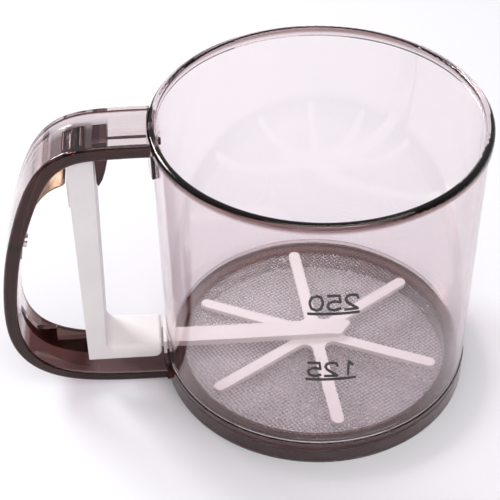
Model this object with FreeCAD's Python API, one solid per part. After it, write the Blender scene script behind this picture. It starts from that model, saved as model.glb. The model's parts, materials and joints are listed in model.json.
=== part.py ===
import FreeCAD, Part
import math
import os

from FreeCAD import Vector

# Squeeze-handle flour sifter. Millimetres, +Z up, origin at the centre of the base ring's foot.
# The handle points along -X. The cup's axis is Z.

# Cup
CUP_HEIGHT = 95.0
RIM_RADIUS = 50.2
RIM_HEIGHT = 3.4
WALL = 1.5
WALL_TOP_RADIUS = 49.3
WALL_FOOT_RADIUS = 48.4
SPIGOT_RADIUS = 47.6

# Base ring, screen and hoop, from the table upwards
RING_RADIUS = 48.7
RING_TOP = 8.6
LEG = 1.5
MESH_RADIUS = 42.6
MESH_BOTTOM = 6.1
MESH_THICKNESS = 0.5
HOOP_THICKNESS = 0.8
MESH_TOP = MESH_BOTTOM + MESH_THICKNESS
HOOP_TOP = MESH_TOP + HOOP_THICKNESS

# Agitator
STAR_BOTTOM = 7.7
STAR_THICKNESS = 1.5
STAR_RADIUS = 40.6
STAR_ARMS = 6
STAR_TURN = 4.5
ARM_WIDTH = 6.6
ARM_THICKNESS = 2.2
ARM_BOTTOM = STAR_BOTTOM + STAR_THICKNESS
ARM_TOP = ARM_BOTTOM + ARM_THICKNESS
ARM_END = -62.5
LUG_END = -52.6
LUG_TOP = 11.7

# Handle strip, thicker at the rim than at the foot: (share of its length, thickness)
HANDLE_HALF_WIDTH = 10.2
HANDLE_THICKNESS = [(0.0, 4.8), (0.12, 4.8), (0.19, 4.6), (0.3, 4.9), (0.45, 4.4), (0.62, 4.0), (1.0, 3.7)]
HANDLE_ROUND = 1.0
END_PLATE = 1.2
END_PLATE_HALF_ANGLE = 12.0
FIT = 0.05

# Trigger
PIVOT = (-70.9, 85.4)
PIVOT_PIN_RADIUS = 1.25
TRIGGER_HALF_WIDTH = 8.3
TRIGGER_SIDE = 1.5
DRIVE_PIN = (-57.0, 11.2)
DRIVE_PIN_RADIUS = 1.0

HANDLE_PATH = [
    (-40.0, 95.0),
    (-50.3, 95.0),
    (-62.0, 94.9),
    (-71.0, 93.9),
    (-77.5, 91.2),
    (-83.0, 85.9),
    (-87.6, 77.6),
    (-91.6, 66.5),
    (-94.9, 54.5),
    (-97.1, 41.5),
    (-97.9, 29.5),
    (-96.6, 18.9),
    (-91.8, 10.2),
    (-84.5, 5.0),
    (-76.0, 2.4),
    (-66.0, 1.3),
    (-52.0, 1.0),
    (-40.0, 1.0),
]

os.makedirs("parts", exist_ok=True)


def save(name, shape):
    shape.exportStep("parts/" + name + ".step")


def flat(points, y=0.0):
    """Closed face in the XZ plane at height y along Y."""
    corners = [Vector(x, y, z) for x, z in points]
    return Part.Face(Part.makePolygon(corners + corners[:1]))


def prism(points, y_from, y_to):
    """XZ outline extruded along Y."""
    return flat(points, y_from).extrude(Vector(0, y_to - y_from, 0))


def turned(points, angle=360.0, start=0.0):
    """(radius, z) outline turned about Z."""
    solid = flat(points).revolve(Vector(0, 0, 0), Vector(0, 0, 1), angle)
    solid.rotate(Vector(0, 0, 0), Vector(0, 0, 1), start)
    return solid


def block(x_from, x_to, y_from, y_to, z_from, z_to):
    corner = Vector(x_from, y_from, z_from)
    return Part.makeBox(x_to - x_from, y_to - y_from, z_to - z_from, corner)


def rod_y(x, z, radius, y_from, y_to):
    return Part.makeCylinder(radius, y_to - y_from, Vector(x, y_from, z), Vector(0, 1, 0))


def rod_z(x, y, radius, z_from, z_to):
    return Part.makeCylinder(radius, z_to - z_from, Vector(x, y, z_from))


def fillet_where(solid, radius, wanted):
    """Round every edge whose centre passes the test."""
    edges = [edge for edge in solid.Edges if wanted(edge)]
    return solid.makeFillet(radius, edges)


def wall_radius(z):
    """Outer radius of the cup wall at height z."""
    share = (z - RING_TOP) / (CUP_HEIGHT - RIM_HEIGHT - RING_TOP)
    return WALL_FOOT_RADIUS + share * (WALL_TOP_RADIUS - WALL_FOOT_RADIUS)


def spline(points, y=0.0):
    curve = Part.BSplineCurve()
    curve.interpolate([Vector(x, y, z) for x, z in points])
    return curve


def thickness_at(share, table):
    """Thickness at a share of the length, smoothly between the table's (share, thickness) rows."""
    for (low, first), (high, second) in zip(table, table[1:]):
        if share <= high:
            part = (share - low) / (high - low)
            return first + (second - first) * part * part * (3 - 2 * part)
    return table[-1][1]


def offset_points(points, table, count=40):
    """Points of the spline through the given ones, moved inwards by the table's thickness."""
    curve = spline(points)
    first, last = curve.FirstParameter, curve.LastParameter
    moved = []
    for step in range(count + 1):
        share = step / count
        distance = thickness_at(share, table)
        here = curve.value(first + (last - first) * share)
        along = curve.tangent(first + (last - first) * share)[0]
        moved.append((here.x - along.z * distance, here.z + along.x * distance))
    return moved


def strip(points, table, half_width):
    """Band between a spline and the same spline moved inwards, extruded along Y."""
    outer = spline(points, -half_width).toShape()
    inner = spline(offset_points(points, table), -half_width).toShape()
    start = Part.makeLine(outer.Vertexes[0].Point, inner.Vertexes[0].Point)
    end = Part.makeLine(outer.Vertexes[-1].Point, inner.Vertexes[-1].Point)
    wire = Part.Wire(Part.__sortEdges__([outer, start, inner, end]))
    return Part.Face(wire).extrude(Vector(0, 2 * half_width, 0))


# Cup body
SLOT_HALF_WIDTH = 4.3
SLOT_BOTTOM = RING_TOP + 0.15
SLOT_TOP = ARM_TOP + 0.95
HOOK_Y = 4.5
HOOK_Z = 86.5
HOOK_HALF = 1.6

cup = turned([
    (WALL_FOOT_RADIUS - WALL, HOOP_TOP),
    (SPIGOT_RADIUS, HOOP_TOP),
    (SPIGOT_RADIUS, RING_TOP + FIT),
    (WALL_FOOT_RADIUS, RING_TOP + FIT),
    (WALL_TOP_RADIUS, CUP_HEIGHT - RIM_HEIGHT),
    (RIM_RADIUS, CUP_HEIGHT - RIM_HEIGHT),
    (RIM_RADIUS, CUP_HEIGHT),
    (WALL_TOP_RADIUS - WALL, CUP_HEIGHT),
    (WALL_FOOT_RADIUS - WALL, RING_TOP + FIT),
])
cup = fillet_where(cup, 1.3, lambda e: e.BoundBox.ZMin > 94.9 and e.BoundBox.XMax > 50.0)
cup = fillet_where(cup, 1.0, lambda e: e.BoundBox.ZMin > 94.9 and e.BoundBox.XMax < 48.5)
cup = fillet_where(cup, 0.6, lambda e: abs(e.BoundBox.ZMax - 91.6) < 0.01 and e.BoundBox.XMax > 50.0)
cup = cup.cut(block(-55, -40, -SLOT_HALF_WIDTH, SLOT_HALF_WIDTH, SLOT_BOTTOM, SLOT_TOP))
for side in (-1, 1):
    window = block(-55, -40, -HOOK_HALF - FIT, HOOK_HALF + FIT, HOOK_Z - 1.05, HOOK_Z + 1.05)
    window.translate(Vector(0, side * HOOK_Y, 0))
    cup = cup.cut(window)
save("cup_body", cup)

# Raised capacity marks on the front wall, reversed so that they read from inside the cup
GLYPHS = {
    "0": [(0.5, 1), (0.15, 0.9), (0, 0.6), (0, 0.4), (0.15, 0.1), (0.5, 0),
          (0.85, 0.1), (1, 0.4), (1, 0.6), (0.85, 0.9), (0.5, 1)],
    "1": [(0.15, 0.75), (0.5, 1), (0.5, 0)],
    "2": [(0, 0.75), (0.12, 0.93), (0.5, 1), (0.88, 0.93), (1, 0.72), (0.85, 0.5), (0, 0), (1, 0)],
    "5": [(1, 1), (0.1, 1), (0, 0.55), (0.5, 0.62), (0.9, 0.52), (1, 0.3), (0.85, 0.07),
          (0.45, 0), (0, 0.1)],
}
DIGIT_WIDTH = 3.5
DIGIT_HEIGHT = 5.4
DIGIT_STEP = 4.9
STROKE_HALF_WIDTH = 0.36
MARK_HEIGHT = 0.35
MARK_CENTRE = -1.0


def stroke(points):
    """Round-ended line of even width, seen along Y."""
    pieces = []
    for x, z in points:
        pieces.append(rod_y(x, z, STROKE_HALF_WIDTH, -55, -40))
    for (x0, z0), (x1, z1) in zip(points, points[1:]):
        length = math.hypot(x1 - x0, z1 - z0)
        bar = block(0, length, -55, -40, -STROKE_HALF_WIDTH, STROKE_HALF_WIDTH)
        bar.rotate(Vector(0, 0, 0), Vector(0, 1, 0), -math.degrees(math.atan2(z1 - z0, x1 - x0)))
        bar.translate(Vector(x0, 0, z0))
        pieces.append(bar)
    return pieces[0].multiFuse(pieces[1:])


def number_strokes(text, bottom):
    """Strokes of a number and its line, reversed left to right about the mark's centre."""
    shapes = []
    for place, digit in enumerate(text):
        centre = MARK_CENTRE - (place - 1) * DIGIT_STEP
        shapes.append(stroke([
            (centre - (u - 0.5) * DIGIT_WIDTH, bottom + v * DIGIT_HEIGHT) for u, v in GLYPHS[digit]
        ]))
    line_z = bottom - 1.4
    shapes.append(stroke([(MARK_CENTRE - 7.0, line_z), (MARK_CENTRE + 7.0, line_z)]))
    return shapes


skin = turned([
    (wall_radius(20.0), 20.0),
    (wall_radius(20.0) + MARK_HEIGHT, 20.0),
    (wall_radius(80.0) + MARK_HEIGHT, 80.0),
    (wall_radius(80.0), 80.0),
])
marks = [shape.common(skin) for shape in number_strokes("250", 64.2) + number_strokes("125", 38.0)]
save("graduation_marks", Part.makeCompound([solid for mark in marks for solid in mark.Solids]))

# Base ring: a hollow foot under the screen with a lip round the cup's spigot
ring = turned([
    (MESH_RADIUS, 0),
    (MESH_RADIUS + LEG, 0),
    (MESH_RADIUS + LEG, MESH_BOTTOM - LEG),
    (RING_RADIUS - LEG, MESH_BOTTOM - LEG),
    (RING_RADIUS - LEG, 0),
    (RING_RADIUS, 0),
    (RING_RADIUS, RING_TOP),
    (SPIGOT_RADIUS + FIT, RING_TOP),
    (SPIGOT_RADIUS + FIT, MESH_BOTTOM),
    (MESH_RADIUS, MESH_BOTTOM),
])
ring = fillet_where(ring, 0.7, lambda e: e.BoundBox.ZMin > RING_TOP - 0.1 and e.BoundBox.XMax > 48.5)
save("base_ring", ring)

# Woven screen and the hoop that clamps its edge
save("mesh_screen", rod_z(0, 0, SPIGOT_RADIUS - 0.6, MESH_BOTTOM, MESH_TOP))
hoop = turned([
    (MESH_RADIUS, MESH_TOP),
    (SPIGOT_RADIUS - FIT, MESH_TOP),
    (SPIGOT_RADIUS - FIT, HOOP_TOP),
    (MESH_RADIUS, HOOP_TOP),
])
save("mesh_hoop", hoop)

# Six-armed agitator star, turned a little off the arm's line
STAR_HALF_WIDTH = 1.9
STAR_FILLET = 2.8
star_top = STAR_BOTTOM + STAR_THICKNESS
reach = STAR_RADIUS - STAR_HALF_WIDTH
fingers = []
for number in range(STAR_ARMS):
    finger = block(0, reach, -STAR_HALF_WIDTH, STAR_HALF_WIDTH, STAR_BOTTOM, star_top)
    finger = finger.fuse(rod_z(reach, 0, STAR_HALF_WIDTH, STAR_BOTTOM, star_top))
    finger.rotate(Vector(0, 0, 0), Vector(0, 0, 1), 30 + STAR_TURN + number * 360 / STAR_ARMS)
    fingers.append(finger)
star = fingers[0].multiFuse(fingers[1:]).removeSplitter()


def is_star_root(edge):
    box = edge.BoundBox
    return box.ZLength > 1.0 and math.hypot(box.Center.x, box.Center.y) < 5.0


star = fillet_where(star, STAR_FILLET, is_star_root)
POST_RADIUS = 2.4
star = star.cut(rod_z(0, 0, POST_RADIUS + FIT, 0, 20))
save("agitator_star", star)

# Agitator arm: flat bar through the wall, snap post for the star, open notch for the drive pin
NOTCH_HALF_WIDTH = DRIVE_PIN_RADIUS + 0.12
NOTCH_BOTTOM = 9.0
half = ARM_WIDTH / 2
outline = [(ARM_END, -half), (8.3, -half), (13.2, half), (ARM_END, half)]
corners = [Vector(x, y, ARM_BOTTOM) for x, y in outline]
arm = Part.Face(Part.makePolygon(corners + corners[:1])).extrude(Vector(0, 0, ARM_THICKNESS))
arm = fillet_where(arm, 1.2, lambda e: e.BoundBox.ZLength > 2.0 and e.BoundBox.XMin > 5.0)
tip_slope = [(3.0, ARM_TOP), (16.0, ARM_TOP - 1.1), (16.0, ARM_TOP + 1.0), (3.0, ARM_TOP + 1.0)]
arm = arm.cut(prism(tip_slope, -9, 9))
arm = arm.fuse(block(ARM_END, LUG_END, -half, half, 7.6, LUG_TOP))
arm = arm.fuse(rod_z(0, 0, POST_RADIUS, STAR_BOTTOM, ARM_BOTTOM + 0.5))
arm = arm.fuse(rod_z(0, 0, POST_RADIUS + 1.0, MESH_TOP + 0.5, STAR_BOTTOM))
arm = arm.fuse(block(-39.6, -37.8, -2.5, 2.5, STAR_BOTTOM + 0.9, ARM_BOTTOM + 0.5))
notch_x = DRIVE_PIN[0]
arm = arm.cut(block(notch_x - NOTCH_HALF_WIDTH, notch_x + NOTCH_HALF_WIDTH, -9, 9, NOTCH_BOTTOM, 20))
arm = arm.removeSplitter()
save("agitator_arm", arm)

# Slot guide: flanged bush in the wall slot that the arm slides in
GUIDE_GAP = 0.2
guide = block(-49.5, -45.9, -SLOT_HALF_WIDTH + FIT, SLOT_HALF_WIDTH - FIT, SLOT_BOTTOM + FIT, SLOT_TOP - FIT)
guide = guide.fuse(block(-49.5, -48.5, -6.2, 6.2, SLOT_BOTTOM + FIT, SLOT_TOP + 1.6))
guide = guide.fuse(block(-46.5, -45.9, -5.4, 5.4, SLOT_BOTTOM - 0.3, SLOT_TOP - FIT))
guide = guide.cut(block(
    -60, -40, -half - GUIDE_GAP, half + GUIDE_GAP, ARM_BOTTOM - 0.15, ARM_TOP + GUIDE_GAP))
save("slot_guide", guide.removeSplitter())

# Trigger: channel-shaped lever with a hollow foot plate
FOOT_TOP = 14.0
FOOT_WALL = 1.0
FOOT_ROUND = 2.4
FOOT_BOTTOM = 9.2
FOOT_END = -50.2
HEAD_RADIUS = 2.9
HEAD_TOP = PIVOT[1] + HEAD_RADIUS
side = [
    (PIVOT[0] - HEAD_RADIUS, PIVOT[1]),
    (-73.6, 9.9),
    (-73.0, FOOT_BOTTOM),
    (FOOT_END, FOOT_BOTTOM),
    (FOOT_END, FOOT_TOP),
    (-67.8, FOOT_TOP + 0.5),
    (-67.4, 28.8),
    (-66.0, 88.0),
    (-66.0, HEAD_TOP),
    (PIVOT[0], HEAD_TOP),
]
trigger = prism(side, -TRIGGER_HALF_WIDTH, TRIGGER_HALF_WIDTH)
trigger = trigger.fuse(rod_y(PIVOT[0], PIVOT[1], HEAD_RADIUS, -TRIGGER_HALF_WIDTH, TRIGGER_HALF_WIDTH))
trigger = trigger.removeSplitter()
inside = [
    (-90.0, 100.0),
    (-67.6, 100.0),
    (-67.6, 88.0),
    (-69.3, 28.8),
    (-69.5, FOOT_TOP - FOOT_WALL),
    (FOOT_END - 1.6, FOOT_TOP - FOOT_WALL),
    (FOOT_END - 1.6, 0.0),
    (-90.0, 0.0),
]


def is_long_y(edge, x, z, reach=0.6):
    box = edge.BoundBox
    return box.YLength > 10 and abs(box.Center.x - x) < reach and abs(box.Center.z - z) < reach


def is_foot_shoulder(edge):
    box = edge.BoundBox
    at_side = abs(abs(box.Center.y) - TRIGGER_HALF_WIDTH) < 0.1
    return box.XLength > 10 and at_side and box.ZMin > FOOT_TOP - 0.1


trigger = fillet_where(trigger, FOOT_ROUND, is_foot_shoulder)
trigger = fillet_where(trigger, 2.4, lambda e: is_long_y(e, FOOT_END, FOOT_BOTTOM))
trigger = fillet_where(trigger, 1.0, lambda e: is_long_y(e, FOOT_END, FOOT_TOP))
trigger = fillet_where(trigger, 2.5, lambda e: is_long_y(e, -67.8, FOOT_TOP + 0.5))
inner_half = TRIGGER_HALF_WIDTH - TRIGGER_SIDE
trigger = trigger.cut(prism(inside, -inner_half, inner_half))
trigger = trigger.fuse(block(-74.3, -72.8, -inner_half - 0.5, inner_half + 0.5, 72.0, 80.6))
trigger = trigger.cut(block(-60, -40, -half - 0.5, half + 0.5, 0, ARM_TOP + 1.8))
PIN_REACH = TRIGGER_HALF_WIDTH - 0.6
trigger = trigger.cut(rod_y(PIVOT[0], PIVOT[1], PIVOT_PIN_RADIUS + FIT, -PIN_REACH - 0.1, PIN_REACH + 0.1))
trigger = trigger.cut(rod_y(DRIVE_PIN[0], DRIVE_PIN[1], DRIVE_PIN_RADIUS, -PIN_REACH, PIN_REACH))
save("trigger_lever", trigger)
save("trigger_pivot_pin", rod_y(PIVOT[0], PIVOT[1], PIVOT_PIN_RADIUS, -PIN_REACH, PIN_REACH))
save("drive_pin", rod_y(DRIVE_PIN[0], DRIVE_PIN[1], DRIVE_PIN_RADIUS, -PIN_REACH, PIN_REACH))

# Handle: C-shaped strip with an end plate against the cup wall and another against the ring
PLATE_HEIGHTS = {"foot": (1.0, 8.0), "head": (83.0, CUP_HEIGHT - RIM_HEIGHT - 0.2)}
foot_radius = RING_RADIUS + FIT
handle = strip(HANDLE_PATH, HANDLE_THICKNESS, HANDLE_HALF_WIDTH)
handle = fillet_where(handle, HANDLE_ROUND, lambda e: e.BoundBox.YLength < 0.1 and e.Length > 50)
under_skin = 92.0
stop_hook = [
    (-65.7, under_skin), (-65.7, 78.4), (-65.3, 77.0), (-63.9, 79.4), (-62.9, 82.4),
    (-61.7, 87.5), (-61.7, under_skin),
]
handle = handle.fuse(prism(stop_hook, -4.6, 4.6))
handle = handle.fuse(block(-62.0, -45.0, -1.8, 1.8, 89.1, under_skin))
boss_x, boss_z = PIVOT
handle = handle.fuse(block(boss_x - 2.9, boss_x + 2.9, -4.7, 4.7, boss_z, 91.0))
handle = handle.fuse(rod_y(boss_x, boss_z, 2.9, -4.7, 4.7))
floor_rib = [
    (-94.6, 29.0), (-92.2, 22.4), (-89.6, 17.6), (-83.6, 17.6), (-83.6, 12.4), (-72.0, 12.4), (-72.0, 3.6),
    (-80.0, 5.2), (-85.5, 7.8), (-90.4, 11.6), (-93.4, 17.0), (-95.2, 24.0),
]
handle = handle.fuse(prism(floor_rib, -1.0, 1.0))
spring_seat = [(-94.4, 51.0), (-91.0, 51.0), (-89.7, 57.6), (-91.4, 59.6), (-92.9, 59.6)]
handle = handle.fuse(prism(spring_seat, -4.0, 4.0))
for place, (low, high) in PLATE_HEIGHTS.items():
    at_low, at_high = foot_radius, foot_radius
    if place == "head":
        at_low, at_high = wall_radius(low) + FIT, wall_radius(high) + FIT
    outline = [
        (at_low - 1.0, low), (at_low + END_PLATE, low),
        (at_high + END_PLATE, high), (at_high - 1.0, high),
    ]
    handle = handle.fuse(turned(outline, 2 * END_PLATE_HALF_ANGLE, 180 - END_PLATE_HALF_ANGLE))
head_top = PLATE_HEIGHTS["head"][1]
cup_space = turned([
    (0, -5), (foot_radius, -5), (foot_radius, RING_TOP + 0.3),
    (wall_radius(RING_TOP) + FIT, RING_TOP + 0.3), (wall_radius(head_top) + FIT, head_top),
    (RIM_RADIUS + 0.15, head_top), (RIM_RADIUS + 0.15, 110), (0, 110),
])
handle = handle.cut(cup_space)
for direction in (-1, 1):
    y = direction * HOOK_Y
    shank = block(-50.0, -46.4, y - HOOK_HALF, y + HOOK_HALF, HOOK_Z - 1.0, HOOK_Z + 1.0)
    barb = block(-47.15, -46.4, y - HOOK_HALF, y + HOOK_HALF, HOOK_Z - 1.0, HOOK_Z + 1.8)
    handle = handle.fuse([shank, barb])
handle = handle.cut(rod_y(boss_x, boss_z, PIVOT_PIN_RADIUS, -5, 5))
handle = handle.removeSplitter()

# Return spring: steel leaf from its seat on the handle's wall to the trigger's back
SPRING_LINE = [
    (-90.75, 50.0),
    (-89.05, 58.4),
    (-87.0, 64.6),
    (-84.2, 70.4),
    (-81.0, 74.4),
    (-77.6, 76.6),
    (-75.2, 77.9),
    (-75.4, 80.6),
]
SPRING_THICKNESS = 0.5
SPRING_HALF_WIDTH = 3.8
spring = strip(SPRING_LINE, [(0.0, SPRING_THICKNESS), (1.0, SPRING_THICKNESS)], SPRING_HALF_WIDTH)

# The spring's screw stands square to the leaf on its seat
SCREW_RADIUS = 1.1
SCREW_HEAD_RADIUS = 2.1
SCREW_HEAD = 1.1
SCREW_DEPTH = 3.6
SCREW_LIFT = 0.15
leaf_curve = spline(SPRING_LINE)
screw_place = leaf_curve.parameter(Vector(-90.0, 0, 54.5))
screw_at = leaf_curve.value(screw_place)
along = leaf_curve.tangent(screw_place)[0]
outwards = Vector(along.z, 0, -along.x)
deep = screw_at - outwards * SCREW_DEPTH
shank = Part.makeCylinder(SCREW_RADIUS, SCREW_DEPTH + SCREW_LIFT, deep, outwards)
screw_seat = screw_at + outwards * SCREW_LIFT
screw = shank.fuse(Part.makeCylinder(SCREW_HEAD_RADIUS, SCREW_HEAD, screw_seat, outwards))
screw_hole = Part.makeCylinder(SCREW_RADIUS + FIT, SCREW_DEPTH + 2.0, deep - outwards * 0.1, outwards)
handle = handle.cut(spring).cut(screw_hole)
spring = spring.cut(screw_hole)
save("spring_screw", screw.removeSplitter())
save("return_spring", spring)
save("handle", handle.removeSplitter())
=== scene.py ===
import json
import math

import bmesh
import bpy
from mathutils import Matrix, Vector


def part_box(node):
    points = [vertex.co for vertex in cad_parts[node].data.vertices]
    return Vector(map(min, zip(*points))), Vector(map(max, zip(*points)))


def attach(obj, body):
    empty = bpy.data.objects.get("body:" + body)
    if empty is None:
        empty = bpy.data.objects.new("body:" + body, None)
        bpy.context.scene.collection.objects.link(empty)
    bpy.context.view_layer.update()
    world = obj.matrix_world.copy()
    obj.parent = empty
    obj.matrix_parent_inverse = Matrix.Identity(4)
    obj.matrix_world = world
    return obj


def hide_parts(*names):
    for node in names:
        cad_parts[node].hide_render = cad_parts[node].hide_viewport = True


# Flour sifter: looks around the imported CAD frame. Metres, +Z up, the handle along -X.

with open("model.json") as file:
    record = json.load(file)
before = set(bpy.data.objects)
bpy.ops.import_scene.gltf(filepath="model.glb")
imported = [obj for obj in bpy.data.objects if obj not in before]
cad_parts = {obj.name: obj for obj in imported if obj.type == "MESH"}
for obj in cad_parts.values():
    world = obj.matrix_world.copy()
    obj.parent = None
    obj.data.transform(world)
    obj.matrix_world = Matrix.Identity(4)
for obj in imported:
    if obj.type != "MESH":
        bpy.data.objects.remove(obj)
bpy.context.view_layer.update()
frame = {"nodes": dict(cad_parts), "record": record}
nodes = frame["nodes"]
scene = bpy.context.scene
MM = 0.001


# ---------------------------------------------------------------- camera

CAMERA_AT = Vector((-41.42, -326.47, 326.61)) * MM
CAMERA_DOWN = math.radians(40.68)
CAMERA_ROLL = math.radians(-0.78)
CAMERA_TURN = math.radians(-3.6)
LENS_MM = 99.85
SENSOR_MM = 36.0


def make_camera():
    forward = Vector((0, math.cos(CAMERA_DOWN), -math.sin(CAMERA_DOWN)))
    level = Vector((1, 0, 0))
    above = level.cross(forward)
    right = math.cos(CAMERA_ROLL) * level + math.sin(CAMERA_ROLL) * above
    up = math.cos(CAMERA_ROLL) * above - math.sin(CAMERA_ROLL) * level
    turn = Matrix.Rotation(CAMERA_TURN, 3, "Z")
    columns = [turn @ right, turn @ up, -(turn @ forward)]
    data = bpy.data.cameras.new("camera")
    data.lens = LENS_MM
    data.sensor_width = SENSOR_MM
    data.clip_start = 0.01
    camera = bpy.data.objects.new("camera", data)
    scene.collection.objects.link(camera)
    camera.matrix_world = Matrix.Translation(CAMERA_AT) @ Matrix(columns).transposed().to_4x4()
    scene.camera = camera


make_camera()


# ---------------------------------------------------------------- materials

def new_material(name):
    material = bpy.data.materials.new(name)
    material.use_nodes = True
    tree = material.node_tree
    tree.nodes.clear()
    output = tree.nodes.new("ShaderNodeOutputMaterial")
    shader = tree.nodes.new("ShaderNodeBsdfPrincipled")
    tree.links.new(shader.outputs["BSDF"], output.inputs["Surface"])
    return material, tree, shader, output


def object_noise(tree, scale, detail=2.0, roughness=0.5):
    """Noise over the object's own coordinates, with the scale in cells per metre."""
    coords = tree.nodes.new("ShaderNodeTexCoord")
    noise = tree.nodes.new("ShaderNodeTexNoise")
    noise.inputs["Scale"].default_value = scale
    noise.inputs["Detail"].default_value = detail
    noise.inputs["Roughness"].default_value = roughness
    tree.links.new(coords.outputs["Object"], noise.inputs["Vector"])
    return noise.outputs["Fac"]


def spread(tree, factor, low, high):
    """Maps a noise factor from its usual 0.3 to 0.7 onto low to high."""
    ranged = tree.nodes.new("ShaderNodeMapRange")
    ranged.inputs["From Min"].default_value = 0.3
    ranged.inputs["From Max"].default_value = 0.7
    ranged.inputs["To Min"].default_value = low
    ranged.inputs["To Max"].default_value = high
    tree.links.new(factor, ranged.inputs["Value"])
    return ranged.outputs["Result"]


def add_bump(tree, shader, height, distance, strength=1.0):
    bump = tree.nodes.new("ShaderNodeBump")
    bump.inputs["Strength"].default_value = strength
    bump.inputs["Distance"].default_value = distance
    tree.links.new(height, bump.inputs["Height"])
    tree.links.new(bump.outputs["Normal"], shader.inputs["Normal"])


# Light lost per metre of plastic, in red, green and blue
SMOKE = (48, 84, 74)
HANDLE_SMOKE = (48, 70, 68)
DARK_SMOKE = (128, 240, 236)

# Tints of the light that goes in and out through some faces. All but the hoop's are painted shade: the
# rim's dark band, the handle's cut sides, its foot, the zone over the lever's head and the ring's inner
# wall.
CLEAR = (1, 1, 1)
# painted shade for the rim's dark band
RIM_PAINTED_SHADE = (0.14, 0.072, 0.064)
# painted shade on the handle's cut sides, for the dark band the light's path through the strip gives
SIDE_PAINTED_SHADE = (0.05, 0.009, 0.007)
# painted shade over the lever's head, so that the white lever looks shaded through the top of the strip
HEAD_PAINTED_SHADE = (0.06, 0.04, 0.038)
# painted shade on the foot, for the shadow under the strip where it stands close to the floor
FOOT_PAINTED_SHADE = (0.17, 0.085, 0.076)
# painted shade on the ring's inner wall, for the shadowed hollow under the screen
RING_WALL_PAINTED_SHADE = (0.10, 0.075, 0.072)
HOOP_TINT = (0.50, 0.35, 0.32)

# Where those tints fade in: from none at the first place to whole at the second
RIM_FADE_OUT = (49.75 * MM, 49.95 * MM)
RIM_FADE_UP = (91.8 * MM, 93.2 * MM)
SIDE_FADE = (0.45, 0.95)
HEAD_FADE_LEFT = (-84.0 * MM, -76.0 * MM)
HEAD_FADE_RIGHT = (-61.2 * MM, -61.4 * MM)
HEAD_FADE_TOP = (90.6 * MM, 90.4 * MM)
HEAD_FADE_LOW = (70.0 * MM, 72.0 * MM)
HEAD_FADE_BACK = (9.0 * MM, 2.0 * MM)
FOOT_FADE_TOP = (20.0 * MM, 17.0 * MM)
FOOT_FADE_LOW = (1.5 * MM, 2.5 * MM)
RING_FADE_IN = (44.4 * MM, 44.0 * MM)
HOOP_FADE_IN = (47.66 * MM, 47.56 * MM)
HOOP_FADE_UP = (6.45 * MM, 6.55 * MM)

# What lamps keep at each face
CLEAR_KEEPS = (0.95, 0.96, 0.97)
DARK_KEEPS = (0.30, 0.29, 0.30)
HANDLE_KEEPS = (0.82, 0.84, 0.86)

ABSORPTION_ROOM = 1.25
PLASTIC_IOR = 1.49
GLOSS_LEVEL = 0.38
GLOSS_TINT = (1, 0.86, 0.84)
# painted shade: dark colours for the raised strokes
MARK_DARK = (0.022, 0.016, 0.016)
MARK_LIGHT = (0.05, 0.036, 0.036)
WHITE_DARK = (0.89, 0.85, 0.85)
WHITE_LIGHT = (0.94, 0.905, 0.90)
WHITE_ROUGHNESS = (0.36, 0.46)
MARK_ROUGHNESS = 0.18
STEEL_DULL = 0.86

# Noise, in cells per metre, and the depth of its bumps
FLOW_CELLS = 90
WAVE_CELLS = 45
WAVE_DEPTH = 0.06 * MM
MARK_CELLS = 500
BLOTCH_CELLS = 60
GRAIN_CELLS = 2600
GRAIN_DEPTH = 0.02 * MM
STEEL_CELLS = 400
BRUSH_CELLS = 1800
BRUSH_DEPTH = 0.03 * MM


def feed(tree, socket, value):
    """Links an output to the socket, or sets a number or a colour on it."""
    if isinstance(value, bpy.types.NodeSocket):
        tree.links.new(value, socket)
    elif isinstance(value, (int, float)):
        socket.default_value = value
    else:
        socket.default_value = (*value, 1)


def math_node(tree, operation, *values):
    node = tree.nodes.new("ShaderNodeMath")
    node.operation = operation
    for socket, value in zip(node.inputs, values):
        feed(tree, socket, value)
    return node.outputs[0]


def product(tree, *shares):
    result = shares[0]
    for share in shares[1:]:
        result = math_node(tree, "MULTIPLY", result, share)
    return result


def lit_through(tree, shader, output, tint):
    """Lets lamp rays and diffuse rays straight through the plastic, so that what is inside is lit."""
    path = tree.nodes.new("ShaderNodeLightPath")
    either = math_node(tree, "MAXIMUM", path.outputs["Is Shadow Ray"], path.outputs["Is Diffuse Ray"])
    clear = tree.nodes.new("ShaderNodeBsdfTransparent")
    clear.inputs["Color"].default_value = (*tint, 1)
    mix = tree.nodes.new("ShaderNodeMixShader")
    tree.links.new(either, mix.inputs["Fac"])
    tree.links.new(shader.outputs["BSDF"], mix.inputs[1])
    tree.links.new(clear.outputs["BSDF"], mix.inputs[2])
    tree.links.new(mix.outputs["Shader"], output.inputs["Surface"])


def side_facing(tree):
    """How far a face looks along Y, from 0 to 1."""
    geometry = tree.nodes.new("ShaderNodeNewGeometry")
    split = tree.nodes.new("ShaderNodeSeparateXYZ")
    tree.links.new(geometry.outputs["Normal"], split.inputs["Vector"])
    return math_node(tree, "ABSOLUTE", split.outputs["Y"])


def object_place(tree, axis):
    coords = tree.nodes.new("ShaderNodeTexCoord")
    split = tree.nodes.new("ShaderNodeSeparateXYZ")
    tree.links.new(coords.outputs["Object"], split.inputs["Vector"])
    return split.outputs[axis]


def distance_out(tree):
    """The distance from the cup's axis."""
    x = object_place(tree, "X")
    y = object_place(tree, "Y")
    return math_node(tree, "SQRT", math_node(tree, "ADD", product(tree, x, x), product(tree, y, y)))


def fade(tree, value, start, whole):
    """0 at the start and 1 where it is whole, with a soft step between. The start may be the larger."""
    ranged = tree.nodes.new("ShaderNodeMapRange")
    ranged.interpolation_type = "SMOOTHSTEP"
    ranged.inputs["From Min"].default_value = start
    ranged.inputs["From Max"].default_value = whole
    tree.links.new(value, ranged.inputs["Value"])
    return ranged.outputs["Result"]


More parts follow.
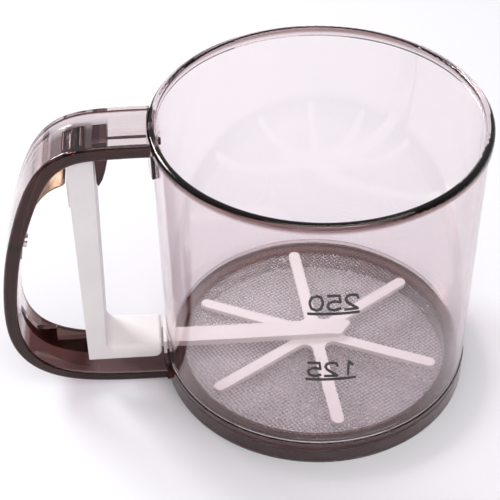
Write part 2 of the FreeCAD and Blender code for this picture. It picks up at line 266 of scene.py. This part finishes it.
def blend_colours(tree, factor, first, second):
    mix = tree.nodes.new("ShaderNodeMix")
    mix.data_type = "RGBA"
    feed(tree, mix.inputs["A"], first)
    feed(tree, mix.inputs["B"], second)
    tree.links.new(factor, mix.inputs["Factor"])
    return mix.outputs["Result"]


def smoked_plastic(name, absorbed, roughness, let_through, face_shade_and_tint):
    """Clear plastic. absorbed is the light lost per metre, and the last argument gives the colour of its
    faces, mostly painted shade.
    """
    material, tree, shader, output = new_material(name)
    shader.inputs["Base Color"].default_value = (1, 1, 1, 1)
    shader.inputs["Transmission Weight"].default_value = 1.0
    shader.inputs["IOR"].default_value = PLASTIC_IOR
    shader.inputs["Specular IOR Level"].default_value = GLOSS_LEVEL
    shader.inputs["Specular Tint"].default_value = (*GLOSS_TINT, 1)
    flow = object_noise(tree, FLOW_CELLS, 2.0)
    tree.links.new(spread(tree, flow, roughness * 0.6, roughness * 1.4), shader.inputs["Roughness"])
    add_bump(tree, shader, object_noise(tree, WAVE_CELLS, 1.0), WAVE_DEPTH, 0.6)
    tree.links.new(face_shade_and_tint(tree), shader.inputs["Base Color"])
    most = max(absorbed) * ABSORPTION_ROOM
    absorb = tree.nodes.new("ShaderNodeVolumeAbsorption")
    absorb.inputs["Color"].default_value = (*[1 - share / most for share in absorbed], 1)
    absorb.inputs["Density"].default_value = most
    tree.links.new(absorb.outputs["Volume"], output.inputs["Volume"])
    lit_through(tree, shader, output, let_through)
    return material


def rim_painted_shade(tree):
    """Painted shade: the upper part of the rim's outside is coloured darker than the wall, for the dark
    band that the light's path through the thick rim gives.
    """
    outside = fade(tree, distance_out(tree), *RIM_FADE_OUT)
    upper = fade(tree, object_place(tree, "Z"), *RIM_FADE_UP)
    return blend_colours(tree, product(tree, outside, upper), CLEAR, RIM_PAINTED_SHADE)


def handle_painted_shade(tree):
    """Painted shade: the strip's cut sides, its foot and the ribs under its top around the lever's head
    are coloured dark, and its broad faces clear.
    """
    x = object_place(tree, "X")
    y = object_place(tree, "Y")
    z = object_place(tree, "Z")
    # painted shade zone over the lever's head
    head = product(
        tree,
        fade(tree, x, *HEAD_FADE_LEFT),
        fade(tree, x, *HEAD_FADE_RIGHT),
        fade(tree, z, *HEAD_FADE_TOP),
        fade(tree, z, *HEAD_FADE_LOW),
        fade(tree, y, *HEAD_FADE_BACK),
    )
    # painted shade zone on the foot
    foot = product(tree, fade(tree, z, *FOOT_FADE_TOP), fade(tree, z, *FOOT_FADE_LOW))
    inner = blend_colours(tree, foot, blend_colours(tree, head, CLEAR, HEAD_PAINTED_SHADE), FOOT_PAINTED_SHADE)
    # painted shade on faces that look along Y
    return blend_colours(tree, fade(tree, side_facing(tree), *SIDE_FADE), inner, SIDE_PAINTED_SHADE)


def ring_shade_and_hoop_tint(tree):
    """The ring's inner wall is darker from painted shade, for the shadowed hollow under the screen, and
    the whole hoop is a darker brown than the ring's outside.
    """
    radius = distance_out(tree)
    wall = blend_colours(tree, fade(tree, radius, *RING_FADE_IN), CLEAR, RING_WALL_PAINTED_SHADE)
    upper = fade(tree, object_place(tree, "Z"), *HOOP_FADE_UP)
    hoop = product(tree, fade(tree, radius, *HOOP_FADE_IN), upper)
    return blend_colours(tree, hoop, wall, HOOP_TINT)


def mark_plastic(name):
    """Raised strokes, coloured nearly black as painted shade: their round sides turn the light away, so
    they look nearly solid.
    """
    material, tree, shader, _ = new_material(name)
    cloud = spread(tree, object_noise(tree, MARK_CELLS, 2.0), 0, 1)
    tree.links.new(blend_colours(tree, cloud, MARK_DARK, MARK_LIGHT), shader.inputs["Base Color"])
    shader.inputs["Roughness"].default_value = MARK_ROUGHNESS
    return material


def white_plastic(name):
    material, tree, shader, _ = new_material(name)
    blotch = spread(tree, object_noise(tree, BLOTCH_CELLS, 3.0), 0, 1)
    tree.links.new(blend_colours(tree, blotch, WHITE_DARK, WHITE_LIGHT), shader.inputs["Base Color"])
    grain = object_noise(tree, GRAIN_CELLS, 2.0)
    tree.links.new(spread(tree, grain, *WHITE_ROUGHNESS), shader.inputs["Roughness"])
    add_bump(tree, shader, grain, GRAIN_DEPTH, 0.35)
    return material


def steel(name, colour, roughness, brushed=0.0):
    material, tree, shader, _ = new_material(name)
    shader.inputs["Metallic"].default_value = 1.0
    cloud = object_noise(tree, STEEL_CELLS, 3.0)
    duller = [share * STEEL_DULL for share in colour]
    mix = blend_colours(tree, spread(tree, cloud, 0, 1), duller, colour)
    tree.links.new(mix, shader.inputs["Base Color"])
    tree.links.new(spread(tree, cloud, roughness * 0.8, roughness * 1.2), shader.inputs["Roughness"])
    if brushed:
        add_bump(tree, shader, object_noise(tree, BRUSH_CELLS, 2.0), BRUSH_DEPTH, brushed)
    return material


LOOKS = {
    "smoked_clear": smoked_plastic("smoked_clear", SMOKE, 0.03, CLEAR_KEEPS, rim_painted_shade),
    "smoked_mark": mark_plastic("smoked_mark"),
    "smoked_dark": smoked_plastic("smoked_dark", DARK_SMOKE, 0.04, DARK_KEEPS, ring_shade_and_hoop_tint),
    "smoked_handle": smoked_plastic("smoked_handle", HANDLE_SMOKE, 0.03, HANDLE_KEEPS, handle_painted_shade),
    "white_plastic": white_plastic("white_plastic"),
    "steel_mesh": steel("steel_mesh", (0.72, 0.665, 0.68), 0.24),
    "steel_pin": steel("steel_pin", (0.66, 0.66, 0.67), 0.22),
    # painted reflection and shade: the steel is coloured dark brown for the brown plastic it reflects
    # and the shade inside the handle
    "spring_steel": steel("spring_steel", (0.27, 0.18, 0.12), 0.36, 0.4),
}
for part in frame["record"]["subparts"]:
    data = nodes[part["node"]].data
    data.materials.clear()
    data.materials.append(LOOKS[part["material_slot"]])


# ---------------------------------------------------------------- softened edges

ROUND_SEGMENTS = 2
SHARP_FROM = math.radians(40)


def soften(name, width):
    """Small rounds on a moulded piece's sharp edges."""
    bevel = nodes[name].modifiers.new("round", "BEVEL")
    bevel.width = width
    bevel.segments = ROUND_SEGMENTS
    bevel.limit_method = "ANGLE"
    bevel.angle_limit = SHARP_FROM


for name, width in {"agitator_star": 0.35, "agitator_arm": 0.4, "trigger_lever": 0.35}.items():
    soften(name, width * MM)


# ---------------------------------------------------------------- woven screen

WEAVE_PITCH = 1.2 * MM
WIRE_RADIUS = 0.17 * MM
WEAVE_SWING = 0.15 * MM
WEAVE_TURN = math.radians(30)
WEAVE_SIDES = 4
WIRE_END_GAP = 0.3 * MM


def add_wire(mesh, points):
    """A wire of WEAVE_SIDES sides along the points, which all run close to one straight line."""
    along = (points[-1] - points[0]).normalized()
    across = Vector((0, 0, 1)).cross(along)
    rings = []
    for point in points:
        ring = []
        for side in range(WEAVE_SIDES):
            angle = 2 * math.pi * side / WEAVE_SIDES
            offset = math.cos(angle) * across + math.sin(angle) * Vector((0, 0, 1))
            ring.append(mesh.verts.new(point + WIRE_RADIUS * offset))
        rings.append(ring)
    for first, second in zip(rings, rings[1:]):
        for side in range(WEAVE_SIDES):
            other = (side + 1) % WEAVE_SIDES
            mesh.faces.new((first[side], first[other], second[other], second[side])).smooth = True
    mesh.faces.new(rings[0][::-1])
    mesh.faces.new(rings[-1])


def make_screen():
    low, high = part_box("mesh_screen")
    radius = (high.x - low.x) / 2 - WIRE_END_GAP
    middle = (low.z + high.z) / 2
    count = int(radius / WEAVE_PITCH)
    mesh = bmesh.new()
    for direction in (0, 1):
        for row in range(-count, count + 1):
            reach = int(math.sqrt(radius ** 2 - (row * WEAVE_PITCH) ** 2) / WEAVE_PITCH)
            points = []
            for step in range(-reach, reach + 1):
                swing = WEAVE_SWING if (row + step + direction) % 2 else -WEAVE_SWING
                flat = (step * WEAVE_PITCH, row * WEAVE_PITCH)
                x, y = flat if direction == 0 else flat[::-1]
                points.append(Vector((x, y, middle + swing)))
            if len(points) > 1:
                add_wire(mesh, points)
    bmesh.ops.rotate(mesh, verts=mesh.verts, cent=(0, 0, 0), matrix=Matrix.Rotation(WEAVE_TURN, 3, "Z"))
    data = bpy.data.meshes.new("woven_screen")
    mesh.to_mesh(data)
    mesh.free()
    data.materials.append(LOOKS["steel_mesh"])
    screen = bpy.data.objects.new("woven_screen", data)
    scene.collection.objects.link(screen)
    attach(screen, "sifter")
    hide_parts("mesh_screen")


make_screen()


# ---------------------------------------------------------------- stage and lights

FLOOR_COLOUR = (0.885, 0.885, 0.915)
FLOOR_ROUGHNESS = 0.55
LIGHT_BEHIND = (0.475, 0.48, 0.50)
LIGHT_IN_FRONT = (0.115, 0.085, 0.08)
WORLD_FADE = (-0.5, 0.6)


def make_floor():
    data = bpy.data.meshes.new("floor")
    reach = 3.0
    corners = [(-reach, -reach, 0), (reach, -reach, 0), (reach, reach, 0), (-reach, reach, 0)]
    data.from_pydata(corners, [], [(0, 1, 2, 3)])
    material, _, shader, _ = new_material("floor")
    shader.inputs["Base Color"].default_value = (*FLOOR_COLOUR, 1)
    shader.inputs["Roughness"].default_value = FLOOR_ROUGHNESS
    data.materials.append(material)
    floor = bpy.data.objects.new("floor", data)
    scene.collection.objects.link(floor)


def add_light(name, place, aim, size, power):
    data = bpy.data.lights.new(name, "AREA")
    data.shape = "SQUARE"
    data.size = size
    data.energy = power
    light = bpy.data.objects.new(name, data)
    light.location = place
    light.rotation_euler = (Vector(aim) - Vector(place)).to_track_quat("-Z", "Y").to_euler()
    scene.collection.objects.link(light)


def add_world():
    """Soft light that is bright behind the sifter, and dim and warm in front of it."""
    world = bpy.data.worlds.new("studio")
    world.use_nodes = True
    tree = world.node_tree
    sky = tree.nodes["Background"]
    coords = tree.nodes.new("ShaderNodeTexCoord")
    split = tree.nodes.new("ShaderNodeSeparateXYZ")
    tree.links.new(coords.outputs["Generated"], split.inputs["Vector"])
    ranged = tree.nodes.new("ShaderNodeMapRange")
    ranged.inputs["From Min"].default_value = WORLD_FADE[0]
    ranged.inputs["From Max"].default_value = WORLD_FADE[1]
    tree.links.new(split.outputs["Y"], ranged.inputs["Value"])
    colour = blend_colours(tree, ranged.outputs["Result"], LIGHT_IN_FRONT, LIGHT_BEHIND)
    tree.links.new(colour, sky.inputs["Color"])
    scene.world = world


make_floor()
add_world()
scene.view_settings.view_transform = "Standard"
add_light("key", place=(-0.66, 0.60, 0.62), aim=(0, 0, 0.03), size=0.35, power=8.0)
add_light("fill", place=(0.20, -0.52, 0.95), aim=(0.02, -0.12, 0), size=1.1, power=9.6)
